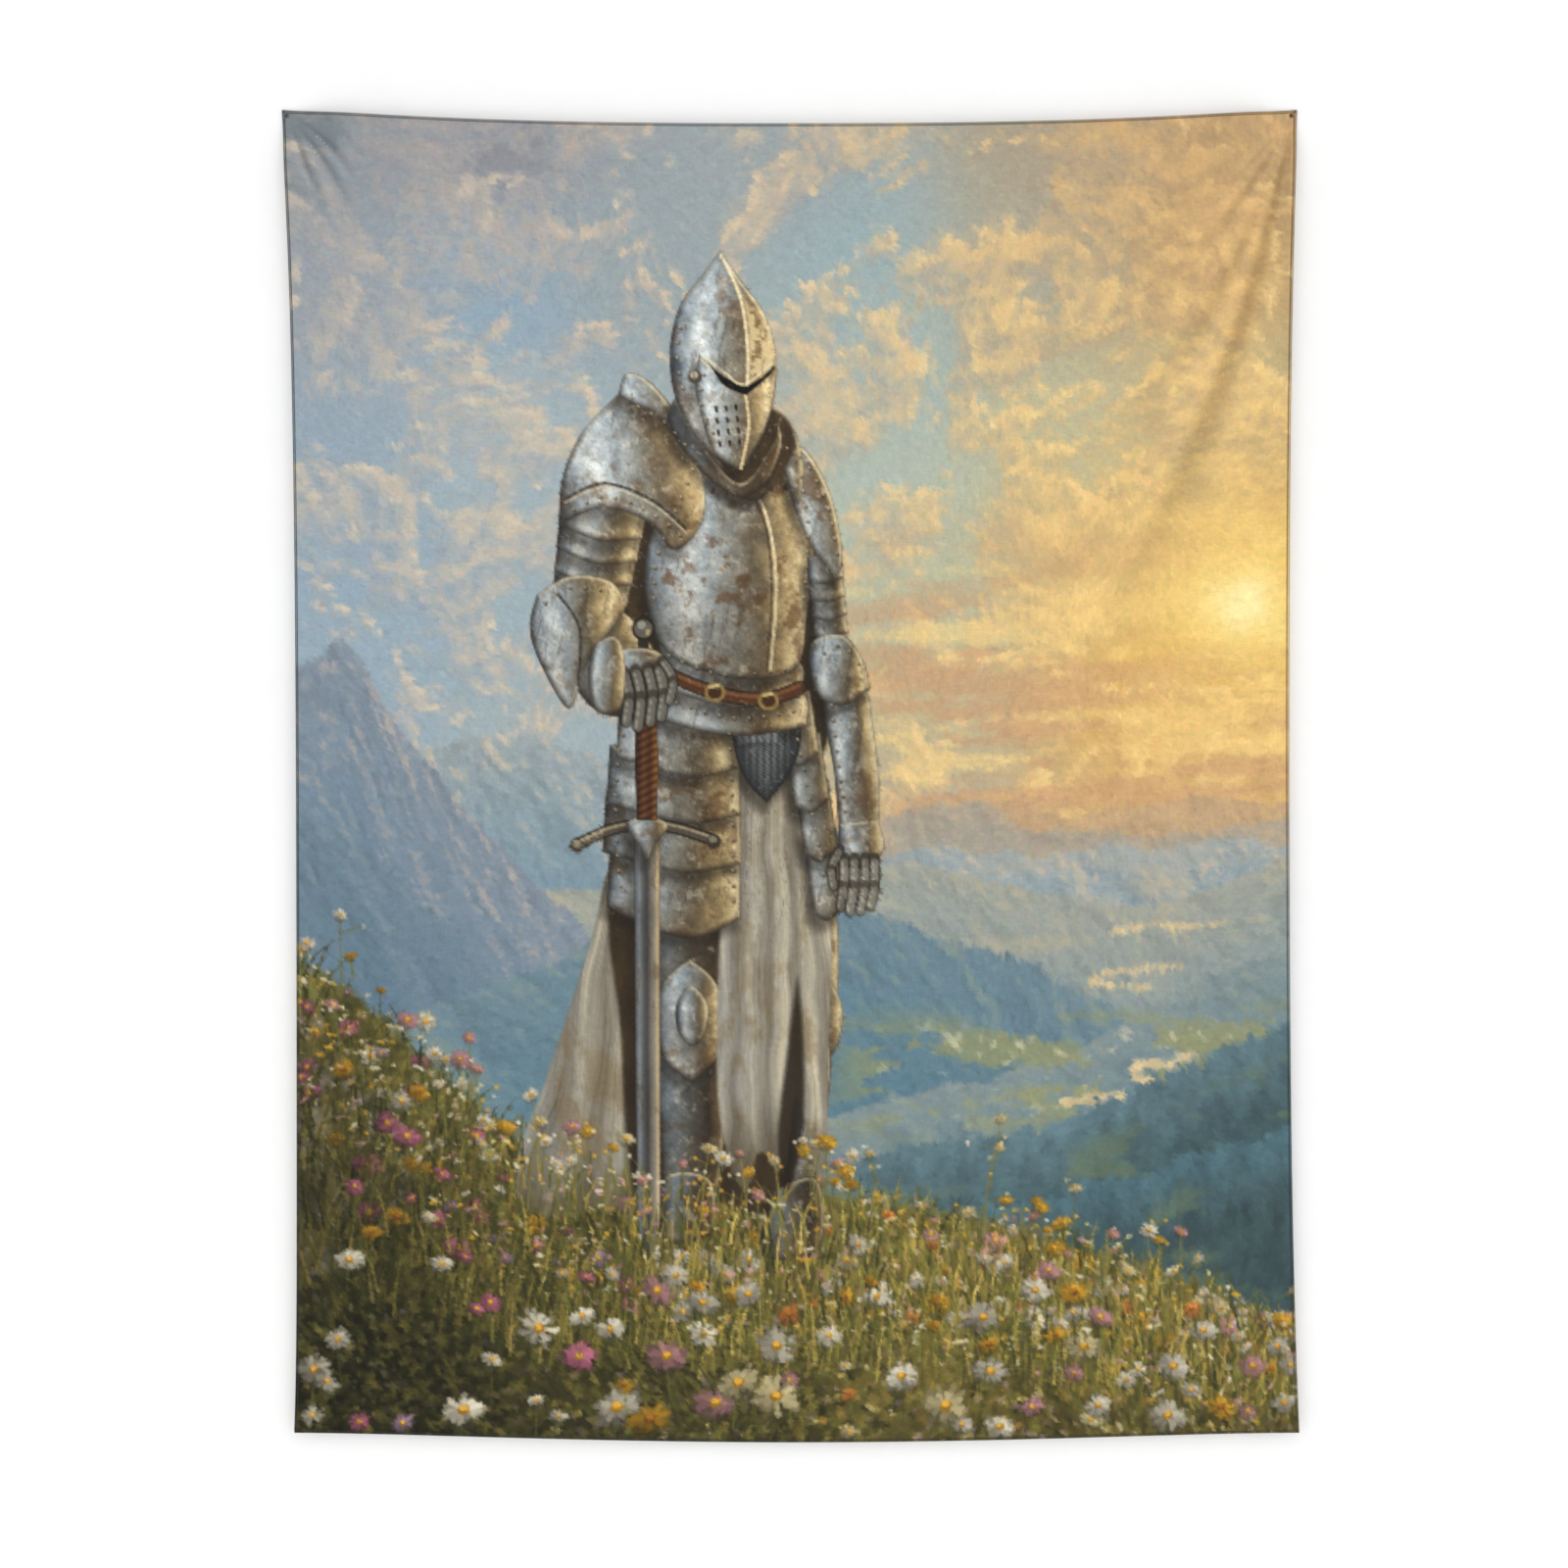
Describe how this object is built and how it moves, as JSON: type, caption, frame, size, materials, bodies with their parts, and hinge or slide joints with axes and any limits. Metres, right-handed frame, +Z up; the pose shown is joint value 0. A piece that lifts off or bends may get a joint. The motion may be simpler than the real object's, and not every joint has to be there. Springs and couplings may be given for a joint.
{
  "type": "tapestry wall hanging",
  "caption": "Portrait cloth wall hanging with a printed landscape and armoured figure, narrow overlocked hems, hung by a steel pin through each top corner.",
  "frame": {"origin": "on the wall's face, halfway between the axes of the two corner pins", "axes": "+X across the wall to the viewer's right, +Z up, +Y into the wall; the printed side faces -Y"},
  "size_m": [0.7313, 0.0141, 0.9576],
  "materials": {
    "printed_cloth": "matt printed polyester canvas weave, front printed, back paler",
    "hem_cloth": "matt woven polyester, turned back so that its printed side faces the wall",
    "edge_thread": "dark spun polyester overlock thread",
    "pin_steel": "satin blackened steel"
  },
  "bodies": {
    "cloth": {"printed_cloth": "printed_cloth", "top_hem": "hem_cloth", "bottom_hem": "hem_cloth", "left_hem": "hem_cloth", "right_hem": "hem_cloth", "top_edge_thread": "edge_thread", "bottom_edge_thread": "edge_thread", "left_edge_thread": "edge_thread", "right_edge_thread": "edge_thread"},
    "left_pin": {"left_corner_pin": "pin_steel"},
    "right_pin": {"right_corner_pin": "pin_steel"}
  },
  "joints": [
    {"name": "left_pin_pull", "type": "slide", "parent": "cloth", "child": "left_pin", "axis": [0, -1, 0], "range_m": [0, 0.014]},
    {"name": "right_pin_pull", "type": "slide", "parent": "cloth", "child": "right_pin", "axis": [0, -1, 0], "range_m": [0, 0.014]}
  ]
}
